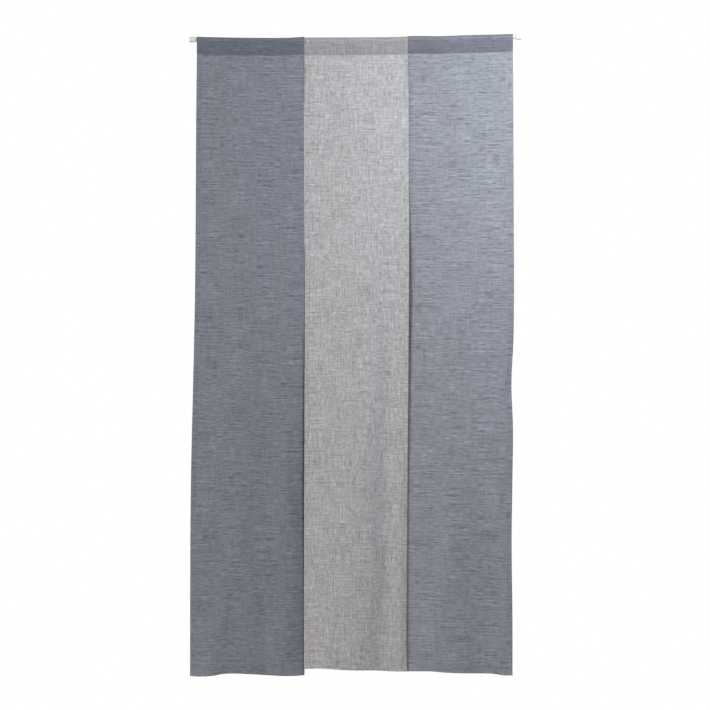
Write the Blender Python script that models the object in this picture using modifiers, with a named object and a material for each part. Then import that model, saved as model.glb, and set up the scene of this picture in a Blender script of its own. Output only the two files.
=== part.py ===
"""Noren curtain: three long cloth strips that hang side by side from one slim rod.

Seen from the front, +X is to the right, +Z is up and +Y points away from the viewer, so the front of the
cloth faces -Y. The origin is the centre of the flat outer face of the rod's left end cap.
Each strip is one cloth: its edge is carried up behind, over the rod and down the front, which makes the rod
pocket, and the cloth then hangs to its bottom hem. All sizes below are millimetres; MM makes them metres.
"""

import math
from collections import namedtuple

import bmesh
import bpy
from mathutils import Vector

MM = 0.001

# Rod and end caps
ROD_SPAN = 892.0
ROD_RADIUS = 5.5
ROD_RISE = 7.6
ROD_SAG = 5.5
ROD_SAG_POWER = 3
ROD_SEGMENTS = 24
ROD_BEVEL_RESOLUTION = 6
CAP_RADIUS = 8.0
CAP_LENGTH = 14.0
CAP_BASE = 3.0
CAP_CHAMFER = 1.0
CAP_SIDES = 24
SEAT_GAP = 0.4

# Cloth
CLOTH_THICKNESS = 1.2
HEM_THICKNESS = 2.2
HEM_STEP = 2.0
SIDE_HEM = 13.0
BOTTOM_HEM = 20.0
ROD_CLEARANCE = 0.5
POCKET_DEPTH = 47.5
FLAP_LENGTH = 6.0
LAYER_GAP = 0.4
FRONT_AT_STITCH = -1.0
WRAP_ANGLE = math.radians(10.0)
BOW = 4.0
BOW_REACH = 900.0

# Fineness of each strip's surface
INNER_COLUMNS = 10
HEM_COLUMNS = 2
WRAP_ROWS = 8
BODY_ROWS = 20
SHARP_ANGLE = math.radians(40.0)

# Height and sideways place of the strips' outer edges, and of the two lines where neighbouring strips meet
Edge = namedtuple("Edge", "height place")
Join = namedtuple("Join", "height centre gap")
# Place across a strip from 0 to 1: how far its pocket stands above the rod, and where its bottom edge hangs
Lift = namedtuple("Lift", "across raised")
Foot = namedtuple("Foot", "across height")
# A long soft fold: its sideways place at two heights, the heights where it starts, is fullest and ends
Fold = namedtuple("Fold", "top_place foot_place start full end half_width depth")
# A strip's side edge that turns away from the viewer, or towards them where the depth is negative
Curl = namedtuple("Curl", "side start full end width depth")
Panel = namedtuple("Panel", "name colour left right lifts feet folds curls")

LEFT_EDGE = [
    Edge(0.0, 20.4),
    Edge(-163.0, 18.6),
    Edge(-432.0, 16.9),
    Edge(-647.0, 15.1),
    Edge(-809.0, 12.4),
    Edge(-970.0, 8.6),
    Edge(-1091.0, 5.4),
    Edge(-1239.0, 2.8),
    Edge(-1374.0, 1.6),
    Edge(-1713.0, 1.0),
]
RIGHT_EDGE = [
    Edge(0.0, 869.5),
    Edge(-244.0, 871.3),
    Edge(-567.0, 872.6),
    Edge(-647.0, 873.2),
    Edge(-809.0, 872.1),
    Edge(-929.0, 866.4),
    Edge(-1050.0, 870.6),
    Edge(-1172.0, 869.1),
    Edge(-1347.0, 866.7),
    Edge(-1562.0, 868.8),
    Edge(-1710.0, 868.9),
]
LEFT_JOIN = [
    Join(0.0, 308.5, 0.4),
    Join(-163.0, 308.5, 0.4),
    Join(-230.0, 308.9, 1.4),
    Join(-432.0, 309.8, 1.8),
    Join(-700.0, 310.2, 1.6),
    Join(-1050.0, 309.2, 1.2),
    Join(-1300.0, 308.0, 1.2),
    Join(-1600.0, 307.2, 1.4),
    Join(-1710.0, 308.0, 1.6),
]
RIGHT_JOIN = [
    Join(0.0, 586.9, 0.4),
    Join(-80.0, 588.2, 0.4),
    Join(-163.0, 589.4, 0.4),
    Join(-230.0, 590.2, 1.2),
    Join(-600.0, 590.5, 1.4),
    Join(-1000.0, 588.2, 1.2),
    Join(-1300.0, 585.9, 1.2),
    Join(-1600.0, 584.0, 1.4),
    Join(-1700.0, 585.6, 1.6),
]

LEFT_LIFTS = [Lift(0.0, 0.3), Lift(0.3, 0.0), Lift(0.82, 0.0), Lift(0.92, 1.4), Lift(1.0, 3.0)]
CENTRE_LIFTS = [Lift(0.0, 0.7), Lift(0.4, 0.2), Lift(0.8, 0.0), Lift(1.0, 0.8)]
RIGHT_LIFTS = [Lift(0.0, 2.2), Lift(0.15, 1.9), Lift(0.3, 0.7), Lift(0.6, 1.5), Lift(1.0, 0.5)]

LEFT_FEET = [
    Foot(0.0, -1712.0),
    Foot(0.1, -1713.0),
    Foot(0.21, -1710.8),
    Foot(0.28, -1706.8),
    Foot(0.39, -1705.5),
    Foot(0.56, -1707.9),
    Foot(0.7, -1710.8),
    Foot(0.91, -1711.9),
    Foot(1.0, -1710.8),
]
CENTRE_FEET = [
    Foot(0.0, -1694.4),
    Foot(0.16, -1692.0),
    Foot(0.4, -1695.0),
    Foot(0.63, -1696.3),
    Foot(0.86, -1699.5),
    Foot(1.0, -1700.1),
]
RIGHT_FEET = [
    Foot(0.0, -1700.1),
    Foot(0.22, -1699.3),
    Foot(0.38, -1702.7),
    Foot(0.6, -1704.9),
    Foot(0.82, -1706.5),
    Foot(0.92, -1710.3),
    Foot(1.0, -1709.8),
]

LEFT_FOLDS = [
    Fold(262.0, 262.0, -40.0, -110.0, -360.0, 20.0, -3.0),
    Fold(120.0, 105.0, -500.0, -950.0, -1700.0, 34.0, -4.0),
    Fold(195.0, 180.0, -900.0, -1500.0, -2300.0, 40.0, 5.0),
    Fold(90.0, 60.0, -1400.0, -1650.0, -1900.0, 22.0, -4.0),
]
CENTRE_FOLDS = [
    Fold(506.0, 440.0, -45.0, -180.0, -700.0, 24.0, -5.0),
    Fold(530.0, 494.0, -90.0, -900.0, -2600.0, 26.0, 8.0),
    Fold(372.0, 384.0, -450.0, -1300.0, -2400.0, 34.0, -4.0),
]
RIGHT_FOLDS = [
    Fold(716.0, 716.0, -45.0, -200.0, -620.0, 24.0, -3.5),
    Fold(760.0, 772.0, -60.0, -330.0, -1100.0, 26.0, 3.0),
    Fold(700.0, 690.0, -700.0, -1350.0, -2300.0, 36.0, -5.0),
    Fold(815.0, 800.0, -900.0, -1500.0, -2400.0, 30.0, 4.0),
]
LEFT_CURLS = [
    Curl("right", -640.0, -1300.0, -1900.0, 42.0, 9.0),
    Curl("left", -60.0, -400.0, -1500.0, 30.0, 4.0),
]
CENTRE_CURLS = [
    Curl("right", -900.0, -1500.0, -2100.0, 32.0, 9.0),
    Curl("left", -900.0, -1550.0, -2300.0, 36.0, -6.0),
]
RIGHT_CURLS = [
    Curl("left", -450.0, -1250.0, -2000.0, 34.0, 8.0),
    Curl("right", -500.0, -920.0, -1300.0, 30.0, 5.0),
]

# Colours, as linear red, green and blue
BLUE_GREY = (0.235, 0.257, 0.300)
PALE_GREY = (0.420, 0.420, 0.435)
ROD_WHITE = (0.830, 0.830, 0.815)
CAP_WHITE = (0.760, 0.760, 0.745)


def smooth_step(start, end, value):
    """Return 0 before start and 1 after end, with a soft rise between them, in either direction."""
    share = (value - start) / (end - start)
    share = min(max(share, 0.0), 1.0)
    return share * share * (3.0 - 2.0 * share)


def along(rows, column, position):
    """Read a column of a table at a position, on a smooth curve through the rows' first column."""
    places = [row[0] for row in rows]
    values = [getattr(row, column) for row in rows]
    if places[0] > places[-1]:
        places = [-place for place in places]
        position = -position
    if position <= places[0]:
        return values[0]
    if position >= places[-1]:
        return values[-1]
    slopes = []
    for index in range(len(rows)):
        before = max(index - 1, 0)
        after = min(index + 1, len(rows) - 1)
        slopes.append((values[after] - values[before]) / (places[after] - places[before]))
    index = max(i for i in range(len(rows) - 1) if places[i] <= position)
    step = places[index + 1] - places[index]
    t = (position - places[index]) / step
    start_part = (1.0 + 2.0 * t) * (1.0 - t) ** 2 * values[index]
    end_part = t * t * (3.0 - 2.0 * t) * values[index + 1]
    bends = t * (1.0 - t) ** 2 * slopes[index] - t * t * (1.0 - t) * slopes[index + 1]
    return start_part + end_part + step * bends


def rod_height(place):
    """Height of the rod's axis: it rises to the right and sags, most steeply close to its ends."""
    first = CAP_LENGTH
    share = min(max((place - first) / (ROD_SPAN - 2.0 * first), 0.0), 1.0)
    return ROD_RISE * share - ROD_SAG * (1.0 - abs(2.0 * share - 1.0) ** ROD_SAG_POWER)


def side_edges(panel, height):
    """Return the sideways places of a strip's two edges at a height."""
    return panel.left(height), panel.right(height)


def swell(rise, height):
    """Strength of a fold or curl at a height, from 0 at its start and end to 1 where it is fullest."""
    if height > rise.full:
        return smooth_step(rise.start, rise.full, height)
    return smooth_step(rise.end, rise.full, height)


def hang_depth(panel, place, height):
    """How far the front stands behind the stitch line's plane, from the bow, folds and curled edges."""
    left, right = side_edges(panel, height)
    across = (place - left) / (right - left)
    depth = -BOW * math.sin(math.pi * across) * smooth_step(-POCKET_DEPTH, -BOW_REACH, height)
    for fold in panel.folds:
        share = smooth_step(fold.start, fold.end, height)
        centre = fold.top_place + (fold.foot_place - fold.top_place) * share
        depth += fold.depth * swell(fold, height) * math.exp(-(((place - centre) / fold.half_width) ** 2))
    for curl in panel.curls:
        from_edge = place - left if curl.side == "left" else right - place
        nearness = max(0.0, 1.0 - from_edge / curl.width)
        depth += curl.depth * swell(curl, height) * nearness * nearness
    return depth


def pocket_top(panel, place, across):
    """Height of the pocket's outer surface above the rod's axis, and of the stitch line below it."""
    reach = ROD_RADIUS + ROD_CLEARANCE + CLOTH_THICKNESS + along(panel.lifts, "raised", across)
    return reach, rod_height(place) + reach - POCKET_DEPTH


def section_rows():
    """List the rows of a strip from its bottom edge, up the front, over the rod and down to the flap end."""
    rows = [("hem", 0.0), ("hem", 1.0), ("hem", 1.0 + HEM_STEP / BOTTOM_HEM)]
    rows += [("body", index / BODY_ROWS) for index in range(1, BODY_ROWS)]
    rows += [("below", FLAP_LENGTH + 2.0 * HEM_STEP), ("below", FLAP_LENGTH + HEM_STEP), ("stitch", 0.0)]
    rows += [("front", 0.5)]
    rows += [("wrap", index / WRAP_ROWS) for index in range(WRAP_ROWS + 1)]
    rows += [("back", 0.5), ("seam", 0.0), ("flap", 1.0)]
    return rows


def row_height(row, foot, stitch):
    """Height of a row where the cloth hangs free of the rod."""
    kind, amount = row
    hem_top = foot + BOTTOM_HEM + HEM_STEP
    if kind == "hem":
        return foot + BOTTOM_HEM * amount
    if kind == "body":
        return hem_top + (stitch - FLAP_LENGTH - 2.0 * HEM_STEP - hem_top) * amount
    if kind == "below":
        return stitch - amount
    if kind == "flap":
        return stitch - FLAP_LENGTH
    return stitch


def row_point(panel, row, place, across):
    """Depth and height of one point of the cloth's outer surface."""
    kind, amount = row
    reach, stitch = pocket_top(panel, place, across)
    foot = along(panel.feet, "height", across)
    height = row_height(row, foot, stitch)
    layers = 2.0 * CLOTH_THICKNESS + LAYER_GAP
    radius = ROD_RADIUS + ROD_CLEARANCE + CLOTH_THICKNESS
    angle = math.pi + WRAP_ANGLE - (math.pi + 2.0 * WRAP_ANGLE) * (amount if kind == "wrap" else 0.0)
    if kind == "wrap":
        return radius * math.cos(angle), rod_height(place) + reach * math.sin(angle)
    if kind in ("front", "back"):
        turned = radius * math.cos(WRAP_ANGLE)
        start = -turned if kind == "front" else turned
        end = FRONT_AT_STITCH if kind == "front" else FRONT_AT_STITCH + layers
        low = rod_height(place) - reach * math.sin(WRAP_ANGLE)
        return start + (end - start) * amount, low + (stitch - low) * amount
    depth = FRONT_AT_STITCH + hang_depth(panel, place, height)
    if kind in ("seam", "flap"):
        depth += layers
    return depth, height


def column_places(left, right):
    """Sideways places of the columns: each hem's edge and fold, and even ones between the hems."""
    inner_left = left + SIDE_HEM + HEM_STEP
    inner_right = right - SIDE_HEM - HEM_STEP
    step = (inner_right - inner_left) / INNER_COLUMNS
    inner = [inner_left + step * index for index in range(INNER_COLUMNS + 1)]
    return [left, left + SIDE_HEM] + inner + [right - SIDE_HEM, right]


def is_hem(row, column, columns):
    """Tell whether a point lies where the cloth is doubled by its side hem or bottom hem."""
    kind, amount = row
    hanging = kind in ("hem", "body") or row == ("below", FLAP_LENGTH + 2.0 * HEM_STEP)
    at_side = column < HEM_COLUMNS or column >= columns - HEM_COLUMNS
    return hanging and (at_side or (kind == "hem" and amount <= 1.0))


def plain_material(name, colour, roughness, metallic=0.0):
    """Make one Principled material."""
    material = bpy.data.materials.new(name)
    material.use_nodes = True
    shader = material.node_tree.nodes["Principled BSDF"]
    shader.inputs["Base Color"].default_value = (*colour, 1.0)
    shader.inputs["Roughness"].default_value = roughness
    shader.inputs["Metallic"].default_value = metallic
    return material


def shade_round(mesh):
    """Shade a piece smooth, except over its sharp corners."""
    mesh.shade_smooth()
    mesh.set_sharp_from_angle(angle=SHARP_ANGLE)


def make_panel(panel, collection, material):
    """Make one strip: a grid laid onto the cloth's outer surface and given its thickness behind."""
    rows = section_rows()
    columns = INNER_COLUMNS + 1 + 2 * HEM_COLUMNS
    grid = bmesh.new()
    bmesh.ops.create_grid(grid, x_segments=columns - 1, y_segments=len(rows) - 1, size=0.5)
    hem_points = []
    for point in grid.verts:
        column = round((point.co.x + 0.5) * (columns - 1))
        row = rows[round((point.co.y + 0.5) * (len(rows) - 1))]
        nominal = row_height(row, along(panel.feet, "height", 0.5), rod_height(ROD_SPAN / 2.0) - POCKET_DEPTH)
        left, right = side_edges(panel, nominal)
        place = column_places(left, right)[column]
        depth, height = row_point(panel, row, place, (place - left) / (right - left))
        if is_hem(row, column, columns):
            hem_points.append(point.index)
        point.co = Vector((place, depth, height)) * MM
    mesh = bpy.data.meshes.new(panel.name)
    grid.to_mesh(mesh)
    grid.free()
    mesh.materials.append(material)
    shade_round(mesh)
    cloth = bpy.data.objects.new(panel.name, mesh)
    collection.objects.link(cloth)
    doubled = cloth.vertex_groups.new(name="hem")
    doubled.add(hem_points, 1.0, "REPLACE")
    thick = cloth.modifiers.new("thickness", "SOLIDIFY")
    thick.thickness = HEM_THICKNESS * MM
    thick.vertex_group = doubled.name
    thick.thickness_vertex_group = CLOTH_THICKNESS / HEM_THICKNESS
    thick.offset = -1.0
    thick.use_even_offset = True
    return cloth


def make_rod(collection, material):
    """Make the rod: a round bar along its rising and sagging axis, its ends inside the caps."""
    curve = bpy.data.curves.new("rod", "CURVE")
    curve.dimensions = "3D"
    curve.bevel_depth = ROD_RADIUS * MM
    curve.bevel_resolution = ROD_BEVEL_RESOLUTION
    curve.use_fill_caps = True
    ends = CAP_BASE + SEAT_GAP
    step = (ROD_SPAN - 2.0 * CAP_LENGTH) / ROD_SEGMENTS
    turns = [ends] + [CAP_LENGTH + step * index for index in range(ROD_SEGMENTS + 1)] + [ROD_SPAN - ends]
    spline = curve.splines.new("POLY")
    spline.points.add(len(turns) - 1)
    for point, place in zip(spline.points, turns):
        point.co = (place * MM, 0.0, rod_height(place) * MM, 1.0)
    curve.materials.append(material)
    rod = bpy.data.objects.new("rod", curve)
    collection.objects.link(rod)
    return rod


def make_cap(name, place, height, turn, collection, material):
    """Make an end cap: a turned cup whose closed, flat end faces away from the curtain."""
    socket = ROD_RADIUS + SEAT_GAP
    outline = [
        (0.0, 0.0),
        (CAP_RADIUS - CAP_CHAMFER, 0.0),
        (CAP_RADIUS, -CAP_CHAMFER),
        (CAP_RADIUS, -CAP_LENGTH + CAP_CHAMFER / 2.0),
        (CAP_RADIUS - CAP_CHAMFER / 2.0, -CAP_LENGTH),
        (socket, -CAP_LENGTH),
        (socket, -CAP_BASE),
        (0.0, -CAP_BASE),
    ]
    profile = bmesh.new()
    corners = [profile.verts.new((radius * MM, 0.0, depth * MM)) for radius, depth in outline]
    for first, second in zip(corners, corners[1:]):
        profile.edges.new((first, second))
    mesh = bpy.data.meshes.new(name)
    profile.to_mesh(mesh)
    profile.free()
    mesh.materials.append(material)
    cap = bpy.data.objects.new(name, mesh)
    collection.objects.link(cap)
    cap.location = (place * MM, 0.0, height * MM)
    cap.rotation_euler = (0.0, turn, 0.0)
    screw = cap.modifiers.new("turning", "SCREW")
    screw.steps = CAP_SIDES
    screw.render_steps = CAP_SIDES
    screw.use_merge_vertices = True
    screw.merge_threshold = 0.00001
    return cap


def make_curtain():
    """Build the whole curtain in its own collection."""
    for item in list(bpy.data.objects):
        bpy.data.objects.remove(item, do_unlink=True)
    collection = bpy.data.collections.new("noren_curtain")
    bpy.context.scene.collection.children.link(collection)
    blue = plain_material("blue_grey_cloth", BLUE_GREY, 0.9)
    pale = plain_material("pale_grey_cloth", PALE_GREY, 0.9)
    white = plain_material("white_rod", ROD_WHITE, 0.4)
    rubber = plain_material("white_cap", CAP_WHITE, 0.6)
    panels = [
        Panel(
            "panel_left",
            blue,
            lambda z: along(LEFT_EDGE, "place", z),
            lambda z: along(LEFT_JOIN, "centre", z) - along(LEFT_JOIN, "gap", z) / 2.0,
            LEFT_LIFTS,
            LEFT_FEET,
            LEFT_FOLDS,
            LEFT_CURLS,
        ),
        Panel(
            "panel_centre",
            pale,
            lambda z: along(LEFT_JOIN, "centre", z) + along(LEFT_JOIN, "gap", z) / 2.0,
            lambda z: along(RIGHT_JOIN, "centre", z) - along(RIGHT_JOIN, "gap", z) / 2.0,
            CENTRE_LIFTS,
            CENTRE_FEET,
            CENTRE_FOLDS,
            CENTRE_CURLS,
        ),
        Panel(
            "panel_right",
            blue,
            lambda z: along(RIGHT_JOIN, "centre", z) + along(RIGHT_JOIN, "gap", z) / 2.0,
            lambda z: along(RIGHT_EDGE, "place", z),
            RIGHT_LIFTS,
            RIGHT_FEET,
            RIGHT_FOLDS,
            RIGHT_CURLS,
        ),
    ]
    for panel in panels:
        make_panel(panel, collection, panel.colour)
    make_rod(collection, white)
    make_cap("cap_left", 0.0, 0.0, -math.pi / 2.0, collection, rubber)
    make_cap("cap_right", ROD_SPAN, ROD_RISE, math.pi / 2.0, collection, rubber)


make_curtain()
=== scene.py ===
# %% [markdown]
# # A divided doorway curtain on a slim rod
#
# Three long strips of thin cloth hang side by side from one white rod. Each strip is a single cut of
# cloth: its sides are hemmed, its foot is turned up, and its top is carried over the rod and sewn
# down as a pocket. The strips are sewn to each other for the first hand's breadth below the pocket
# and are open slits from there down.
#
# The solids that carry and collide are already made. This lesson loads them as a fixed frame and
# dresses them: thin cloth with real hems, thread, a finer rod and caps, and a finish for every
# surface.

# %% Load the frame
import math
from collections import namedtuple

import bmesh
import bpy
import numpy as np
from mathutils import Matrix, Vector


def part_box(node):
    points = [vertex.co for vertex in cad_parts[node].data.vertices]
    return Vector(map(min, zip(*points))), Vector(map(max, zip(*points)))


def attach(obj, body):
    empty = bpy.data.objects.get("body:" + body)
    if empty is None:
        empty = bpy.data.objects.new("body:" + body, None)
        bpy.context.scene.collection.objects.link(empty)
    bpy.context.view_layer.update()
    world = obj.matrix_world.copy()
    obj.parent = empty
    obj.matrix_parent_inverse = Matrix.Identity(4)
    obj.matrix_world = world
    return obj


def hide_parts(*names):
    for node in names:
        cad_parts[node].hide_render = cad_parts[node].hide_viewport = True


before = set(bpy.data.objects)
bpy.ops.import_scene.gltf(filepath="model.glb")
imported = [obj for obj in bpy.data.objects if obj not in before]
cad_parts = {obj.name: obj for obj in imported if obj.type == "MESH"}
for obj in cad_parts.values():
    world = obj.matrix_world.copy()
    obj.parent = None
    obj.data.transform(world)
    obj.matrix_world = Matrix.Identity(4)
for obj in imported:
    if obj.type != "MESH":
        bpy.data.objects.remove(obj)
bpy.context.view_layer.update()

MM = 0.001
rod_low, rod_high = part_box("rod")
cap_low, cap_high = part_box("cap_left")
far_low, far_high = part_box("cap_right")
print("frame nodes:", sorted(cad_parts))

# %% [markdown]
# ## Sizes
#
# A maker works from a few sizes: the rod's span, the depth of its pocket, the widths of the hems.
# Those that the frame knows are read from it. The rest are named here in millimetres, because cloth
# is cut in millimetres, and `MM` turns them into metres where a mesh is made.

# %% Rod and cap sizes, read from the frame
ROD_SPAN = far_high[0] / MM
ROD_START = rod_low[0] / MM
ROD_RADIUS = (rod_high[1] - rod_low[1]) / 2.0 / MM
CAP_LENGTH = (cap_high[0] - cap_low[0]) / MM
CAP_RADIUS = (cap_high[2] - cap_low[2]) / 2.0 / MM
ROD_RISE = (far_high[2] + far_low[2]) / 2.0 / MM
ROD_SAG = 5.5
ROD_SAG_POWER = 3
print(f"rod {ROD_SPAN:.0f} mm long and {2 * ROD_RADIUS:.1f} mm thick, caps {CAP_LENGTH:.0f} mm long")

# %% Sizes of the cloth, its hems and its pocket
CLOTH = 0.5
LAYER = 0.6
SIDE_HEM = 13.0
SIDE_STITCH = 11.0
FOOT_HEM = 20.0
FOOT_STITCH = 18.0
POCKET_DEPTH = 47.5
POCKET_RADIUS = 7.2
POCKET_WRAP = math.radians(10.0)
POCKET_FULLNESS = 2.2
TAIL = 6.0
FRONT_AT_STITCH = -1.0
EDGE_INSET = 0.25
BOW = 4.0
BOW_REACH = 900.0
print(f"pocket {POCKET_DEPTH} mm deep, side hems {SIDE_HEM} mm, foot hem {FOOT_HEM} mm")

# %% [markdown]
# ## Where the strips hang
#
# No hung cloth is a rectangle. Each table below is read from top to bottom or from left to right: the
# places of the two outer edges and of the two lines where neighbours meet, how far each pocket stands
# above the rod, where each foot hangs, and the soft folds that run down the cloth. A smooth curve
# goes through the rows of a table.

# %% Outer edges, and the lines where neighbours meet
Edge = namedtuple("Edge", "height place")
Join = namedtuple("Join", "height centre gap lap")


def rows_of(kind, *rows):
    """Rows of one table, with a name for each column."""
    return [kind(*row) for row in rows]


LEFT_EDGE = rows_of(
    Edge, (0, 20.4), (-163, 18.6), (-432, 16.9), (-647, 15.1), (-809, 12.4),
    (-970, 8.6), (-1091, 5.4), (-1239, 2.8), (-1374, 1.6), (-1713, 1),
)
RIGHT_EDGE = rows_of(
    Edge, (0, 869.5), (-244, 871.3), (-567, 872.6), (-647, 873.2), (-809, 872.1),
    (-929, 866.4), (-1050, 870.6), (-1172, 869.1), (-1347, 866.7), (-1562, 868.8),
    (-1710, 868.9),
)
LEFT_JOIN = rows_of(
    Join, (0, 308.5, 0.2, 0), (-48, 308.5, 0.2, 0), (-54, 308.5, 0.2, 3),
    (-163, 308.5, 0.2, 3), (-176, 308.6, 0.4, 0), (-230, 308.9, 0.5, 0),
    (-432, 309.8, 0.5, 0), (-560, 310.1, 0.3, 0), (-600, 310.1, 0.2, 1.5),
    (-700, 310.2, 0.2, 1.5), (-1050, 309.2, 0.2, 1.5), (-1300, 308, 0.2, 1.5),
    (-1600, 307.2, 0.2, 1.5), (-1710, 308, 0.2, 1.5),
)
RIGHT_JOIN = rows_of(
    Join, (0, 586.9, 0.2, 0), (-48, 587.7, 0.2, 0), (-54, 587.8, 0.2, 3),
    (-163, 589.4, 0.2, 3), (-200, 589.9, 0.2, 1.6), (-600, 590.5, 0.2, 1.6),
    (-1000, 588.2, 0.2, 1.6), (-1300, 585.9, 0.2, 1.6), (-1600, 584, 0.2, 1.6),
    (-1700, 585.6, 0.2, 1.6),
)
print("lines where neighbours meet:", LEFT_JOIN[0].centre, "and", RIGHT_JOIN[0].centre, "mm")

# %% Pocket tops and feet, read from a strip's left edge, 0, to its right edge, 1
Lift = namedtuple("Lift", "across raised")
Foot = namedtuple("Foot", "across height")
Flick = namedtuple("Flick", "across forward")
LEFT_LIFTS = rows_of(Lift, (0, 0.3), (0.3, 0), (0.82, 0), (0.92, 1.4), (1, 3))
CENTRE_LIFTS = rows_of(Lift, (0, 0.7), (0.4, 0.2), (0.8, 0), (1, 0.8))
RIGHT_LIFTS = rows_of(Lift, (0, 2.2), (0.15, 1.9), (0.3, 0.7), (0.6, 1.5), (1, 0.5))
LEFT_FEET = rows_of(
    Foot, (0, -1712), (0.1, -1713), (0.21, -1710.8), (0.28, -1706.8), (0.39, -1705.5),
    (0.56, -1707.9), (0.7, -1710.8), (0.91, -1711.9), (1, -1710.8),
)
CENTRE_FEET = rows_of(
    Foot, (0, -1694.4), (0.16, -1692), (0.4, -1695), (0.63, -1696.3), (0.86, -1699.5),
    (1, -1700.1),
)
RIGHT_FEET = rows_of(
    Foot, (0, -1700.1), (0.22, -1699.3), (0.38, -1702.7), (0.6, -1704.9), (0.82, -1706.5),
    (0.92, -1710.3), (1, -1709.8),
)
LEFT_FLICKS = rows_of(Flick, (0, 5), (0.1, 3), (0.25, -2), (0.7, -1.5), (0.88, 2.5), (1, 5))
CENTRE_FLICKS = rows_of(Flick, (0, 1.5), (0.3, 0.5), (0.7, 1), (1, 3.5))
RIGHT_FLICKS = rows_of(Flick, (0, 3.5), (0.12, 2.5), (0.3, -1.5), (0.8, -1), (0.93, 3), (1, 4.5))
print("lowest point of the feet:", min(foot.height for foot in LEFT_FEET), "mm")

# %% Long soft folds, and side edges that turn away
Fold = namedtuple("Fold", "top_place foot_place start full end half_width depth")
Curl = namedtuple("Curl", "side start full end width depth")
LEFT_FOLDS = rows_of(
    Fold,
    (262, 262, -40, -110, -360, 20, -3),
    (136, 126, -600, -1000, -1750, 50, -6.5),
    (215, 190, -1100, -1500, -2300, 36, 3),
    (100, 52, -1300, -1600, -1950, 28, -5),
    (30, 28, -1000, -1350, -2200, 6, 1.4),
    (86, 82, -44, -90, -200, 9, -0.9),
    (106, 108, -44, -80, -210, 8, 0.7),
)
CENTRE_FOLDS = rows_of(
    Fold,
    (514, 448, -45, -180, -760, 22, -5),
    (548, 514, -60, -1050, -2600, 32, 11),
    (436, 436, -700, -1550, -2500, 70, -9),
    (340, 345, -44, -100, -330, 12, -1.2),
    (395, 400, -44, -90, -260, 11, 1),
)
RIGHT_FOLDS = rows_of(
    Fold,
    (728, 728, -45, -200, -640, 22, -4),
    (768, 776, -60, -330, -1100, 28, 2.5),
    (700, 690, -900, -1400, -2300, 48, -7),
    (800, 800, -1100, -1550, -2400, 38, 3.5),
    (822, 826, -44, -100, -300, 12, 1.4),
    (660, 664, -44, -80, -220, 10, -0.8),
)
LEFT_CURLS = rows_of(
    Curl,
    ("right", -640, -1350, -2700, 60, 16),
    ("left", -50, -180, -620, 22, -3),
    ("left", -950, -1450, -2400, 45, 6),
)
CENTRE_CURLS = rows_of(
    Curl,
    ("right", -900, -1500, -2300, 30, 4),
    ("left", -850, -1500, -2500, 82, 12),
)
RIGHT_CURLS = rows_of(
    Curl,
    ("left", -320, -700, -1500, 34, 12),
    ("left", -1000, -1500, -2600, 85, 8),
    ("right", -500, -920, -1300, 30, 5),
)
print("folds:", len(LEFT_FOLDS + CENTRE_FOLDS + RIGHT_FOLDS))

# %% Flat creases that the cloth kept from its packing
Crease = namedtuple("Crease", "start end height rise bend half_height depth")
LEFT_CREASES = rows_of(Crease, (130, 320, -849, -4, 0, 8, -0.9), (-20, 230, -560, 3, 0, 8, 0.5))
CENTRE_CREASES = rows_of(
    Crease,
    (300, 500, -559, 1, 0, 7, 1.6),
    (300, 560, -702, -3, 0, 8, -0.9),
    (300, 600, -851, 2, 0, 8, 1.1),
)
RIGHT_CREASES = rows_of(
    Crease,
    (690, 890, -858, 25, 0, 8, -1.6),
    (580, 760, -1215, -4, 0, 8, 0.6),
    (610, 815, -1582, -92, -17, 10, -2.4),
)
print("creases:", len(LEFT_CREASES + CENTRE_CREASES + RIGHT_CREASES))

# %% [markdown]
# ## Reading a table
#
# Straight lines between rows would leave corners in the cloth's edge. A cubic curve through the rows,
# with each row's slope taken from its neighbours, is the cheapest smooth choice, and it never needs
# more rows than the shape has bends. Working on whole arrays keeps eighty thousand points fast.

# %% Smooth steps and smooth tables
def soft_step(start, end, value):
    """Rise softly from 0 at start to 1 at end, in either direction."""
    share = np.clip((np.asarray(value, dtype=float) - start) / (end - start), 0.0, 1.0)
    return share * share * (3.0 - 2.0 * share)


def along(rows, column, position):
    """Read a column of a table on a smooth curve through its rows."""
    table = sorted((row[0], getattr(row, column)) for row in rows)
    places = np.array([place for place, _ in table])
    values = np.array([value for _, value in table])
    before = np.maximum(np.arange(len(table)) - 1, 0)
    after = np.minimum(np.arange(len(table)) + 1, len(table) - 1)
    slopes = (values[after] - values[before]) / (places[after] - places[before])
    position = np.asarray(position, dtype=float)
    index = np.clip(np.searchsorted(places, position, side="right") - 1, 0, len(table) - 2)
    step = places[index + 1] - places[index]
    t = np.clip((position - places[index]) / step, 0.0, 1.0)
    ends = (1.0 + 2.0 * t) * (1.0 - t) ** 2 * values[index] + t * t * (3.0 - 2.0 * t) * values[index + 1]
    return ends + step * (t * (1.0 - t) ** 2 * slopes[index] - t * t * (1.0 - t) * slopes[index + 1])


print("left edge half way down:", round(float(along(LEFT_EDGE, "place", -850.0)), 1), "mm")

# %% [markdown]
# ## The rod's line
#
# The rod is pressed between two walls. It rises a little to the right and sags between its caps, most
# steeply close to them. Everything that hangs follows this line, so it is a function of its own.

# %% Height of the rod
def rod_height(place):
    """Height of the rod's axis above its left end."""
    share = np.clip((place - CAP_LENGTH) / (ROD_SPAN - 2.0 * CAP_LENGTH), 0.0, 1.0)
    return ROD_RISE * share - ROD_SAG * (1.0 - np.abs(2.0 * share - 1.0) ** ROD_SAG_POWER)


print("rod's axis at mid span:", round(float(rod_height(ROD_SPAN / 2.0)), 2), "mm")

# %% [markdown]
# ## The three strips
#
# A strip's outline is given by two functions of height, one for each side edge. Where neighbours are
# sewn together, the outer strips reach three millimetres behind the middle one, as a lapped seam
# does, so no light shows through the seam. Below it the strips hang free, and settle a little behind
# the middle one or beside it.

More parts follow.
